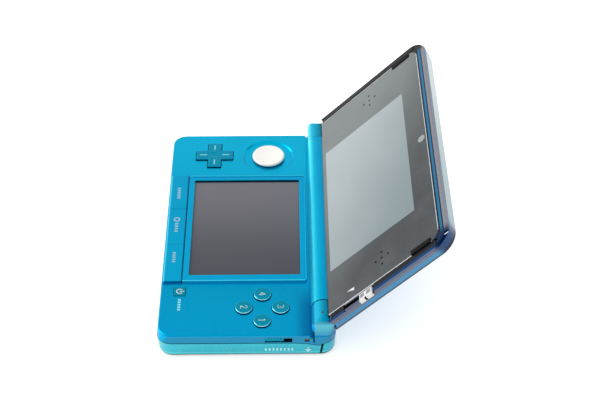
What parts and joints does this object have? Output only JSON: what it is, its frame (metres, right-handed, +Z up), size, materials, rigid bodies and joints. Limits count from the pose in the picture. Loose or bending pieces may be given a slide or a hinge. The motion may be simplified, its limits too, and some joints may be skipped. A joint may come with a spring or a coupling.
{
  "type": "handheld lcd game",
  "caption": "Clamshell handheld game: a hinged lid with a wide screen over a base with a touch screen, cross key, slide pad, round face buttons and rear shoulder buttons.",
  "frame": {"origin": "centre of the flat underside of the base", "axes": "+X to the player's right, +Y away from the player towards the hinge, +Z up out of the lower screen"},
  "size_m": [0.1363, 0.1202, 0.0667],
  "materials": {
    "cover_turquoise": "glossy turquoise moulded plastic under clear lacquer",
    "deck_cyan": "fine metallic cyan lacquer",
    "key_teal": "glossy teal plastic with pale printed marks",
    "pad_white": "warm white, satin",
    "lid_blue": "deep blue translucent gloss",
    "lid_rim": "near-black navy gloss",
    "panel_black": "black-backed gloss panel with a grey window",
    "screen_grey": "matt-film touch layer over a switched-off screen",
    "display_module": "liquid crystal glass stack",
    "inner_black": "black moulded plastic",
    "rubber_grey": "silicone rubber",
    "rubber_black": "black rubber",
    "board_green": "printed circuit board",
    "battery_grey": "lithium cell in a plastic case",
    "tin": "pressed tin plate",
    "steel": "bright steel",
    "gold": "gold-plated contact",
    "lamp": "dark red lens",
    "slider_silver": "silvery white plastic",
    "lens_black": "black lens"
  },
  "bodies": {
    "base": {"bottom_cover": "cover_turquoise", "mid_housing": "deck_cyan", "lower_screen_frame": "deck_cyan", "touch_panel": "screen_grey", "lower_display": "display_module", "strip_key_membrane": "rubber_grey", "dpad_membrane": "rubber_grey", "face_button_membrane": "rubber_grey", "slide_pad_housing": "inner_black", "shoulder_pins": "steel", "shoulder_springs": "steel", "main_board": "board_green", "battery": "battery_grey", "battery_tray": "inner_black", "card_slot": "tin", "memory_card_socket": "tin", "stylus_tunnel": "inner_black", "headphone_jack": "inner_black", "charge_jack": "inner_black", "charge_contacts": "gold", "ir_window": "lamp", "wireless_module": "tin", "status_lamps": "lamp", "case_screws": "steel", "hinge_unit": "steel", "hinge_pin": "steel"},
    "lid": {"lid_outer_shell": "lid_blue", "lid_inner_frame": "lid_rim", "hinge_barrel": "deck_cyan", "upper_panel": "panel_black", "upper_display": "display_module", "parallax_barrier": "display_module", "inner_camera": "lens_black", "rear_cameras": "lens_black", "camera_module": "inner_black", "speakers": "tin", "lid_bumpers": "rubber_black", "display_flex": "gold"},
    "depth_slider": {"depth_slider": "slider_silver"},
    "slide_pad_carriage": {"slide_pad_carriage": "inner_black"},
    "slide_pad": {"slide_pad_cap": "pad_white", "slide_pad_skirt": "inner_black"},
    "dpad_pivot": {"dpad_pivot": "inner_black"},
    "dpad": {"dpad_cross": "key_teal"},
    "power_key": {"power_key": "key_teal"},
    "shoulder_left": {"shoulder_button_left": "cover_turquoise"},
    "shoulder_right": {"shoulder_button_right": "cover_turquoise"},
    "volume_slider": {"volume_slider": "key_teal"},
    "wireless_switch": {"wireless_switch": "key_teal"},
    "stylus": {"stylus_barrel": "inner_black"},
    "stylus_tip": {"stylus_tip": "inner_black"},
    "memory_card_door": {"memory_card_door": "cover_turquoise"},
    "face_button_right": {"face_button_right": "key_teal"},
    "face_button_left": {"face_button_left": "key_teal"},
    "face_button_front": {"face_button_front": "key_teal"},
    "face_button_rear": {"face_button_rear": "key_teal"},
    "strip_key_left": {"strip_key_left": "deck_cyan"},
    "strip_key_middle": {"strip_key_middle": "deck_cyan"},
    "strip_key_right": {"strip_key_right": "deck_cyan"}
  },
  "joints": [
    {"name": "lid_hinge", "type": "hinge", "parent": "base", "child": "lid", "pos_m": [0, 0.0321, 0.01545], "axis": [1, 0, 0], "range_deg": [-20.7, 134.3]},
    {"name": "depth_slide", "type": "slide", "parent": "lid", "child": "depth_slider", "axis": [0, 0.6984, 0.7157], "range_m": [-0.008, 0]},
    {"name": "slide_pad_x", "type": "slide", "parent": "base", "child": "slide_pad_carriage", "axis": [1, 0, 0], "range_m": [-0.0026, 0.0026], "stiffness_N_per_m": 60},
    {"name": "slide_pad_y", "type": "slide", "parent": "slide_pad_carriage", "child": "slide_pad", "axis": [0, 1, 0], "range_m": [-0.0026, 0.0026], "stiffness_N_per_m": 60},
    {"name": "dpad_tilt_x", "type": "hinge", "parent": "base", "child": "dpad_pivot", "pos_m": [-0.0505, -0.0165, 0.0089], "axis": [1, 0, 0], "range_deg": [-2.5, 2.5], "stiffness_Nm_per_rad": 0.05},
    {"name": "dpad_tilt_y", "type": "hinge", "parent": "dpad_pivot", "child": "dpad", "pos_m": [-0.0505, -0.0165, 0.0089], "axis": [0, 1, 0], "range_deg": [-2.5, 2.5], "stiffness_Nm_per_rad": 0.05},
    {"name": "face_button_right_press", "type": "slide", "parent": "base", "child": "face_button_right", "axis": [0, 0, -1], "range_m": [0, 0.0008], "stiffness_N_per_m": 300},
    {"name": "face_button_left_press", "type": "slide", "parent": "base", "child": "face_button_left", "axis": [0, 0, -1], "range_m": [0, 0.0008], "stiffness_N_per_m": 300},
    {"name": "face_button_front_press", "type": "slide", "parent": "base", "child": "face_button_front", "axis": [0, 0, -1], "range_m": [0, 0.0008], "stiffness_N_per_m": 300},
    {"name": "face_button_rear_press", "type": "slide", "parent": "base", "child": "face_button_rear", "axis": [0, 0, -1], "range_m": [0, 0.0008], "stiffness_N_per_m": 300},
    {"name": "power_key_press", "type": "slide", "parent": "base", "child": "power_key", "axis": [0, 0, -1], "range_m": [0, 0.0004], "stiffness_N_per_m": 300},
    {"name": "strip_key_left_press", "type": "slide", "parent": "base", "child": "strip_key_left", "axis": [0, 0, -1], "range_m": [0, 0.0004], "stiffness_N_per_m": 400},
    {"name": "strip_key_middle_press", "type": "slide", "parent": "base", "child": "strip_key_middle", "axis": [0, 0, -1], "range_m": [0, 0.0004], "stiffness_N_per_m": 400},
    {"name": "strip_key_right_press", "type": "slide", "parent": "base", "child": "strip_key_right", "axis": [0, 0, -1], "range_m": [0, 0.0004], "stiffness_N_per_m": 400},
    {"name": "shoulder_right_press", "type": "hinge", "parent": "base", "child": "shoulder_right", "pos_m": [0.0484, 0.0343, 0.0044], "axis": [0, 0, -1], "range_deg": [0, 2.4], "stiffness_Nm_per_rad": 0.4},
    {"name": "shoulder_left_press", "type": "hinge", "parent": "base", "child": "shoulder_left", "pos_m": [-0.0484, 0.0343, 0.0044], "axis": [0, 0, 1], "range_deg": [0, 2.4], "stiffness_Nm_per_rad": 0.4},
    {"name": "volume_slide", "type": "slide", "parent": "base", "child": "volume_slider", "axis": [0, 1, 0], "range_m": [-0.0033, 0.0033]},
    {"name": "wireless_slide", "type": "slide", "parent": "base", "child": "wireless_switch", "axis": [0, 1, 0], "range_m": [0, 0.0034], "stiffness_N_per_m": 120},
    {"name": "stylus_pull", "type": "slide", "parent": "base", "child": "stylus", "axis": [0, 1, 0], "range_m": [0, 0.045]},
    {"name": "stylus_extend", "type": "slide", "parent": "stylus", "child": "stylus_tip", "axis": [0, -1, 0], "range_m": [0, 0.0205]},
    {"name": "memory_card_door_hinge", "type": "hinge", "parent": "base", "child": "memory_card_door", "pos_m": [-0.0661, 0.015, 0.0026], "axis": [0, -1, 0], "range_deg": [0, 80]}
  ],
  "couplings": [
    {"joint": "stylus_extend", "follows": "stylus_pull", "ratio": 0.45}
  ]
}
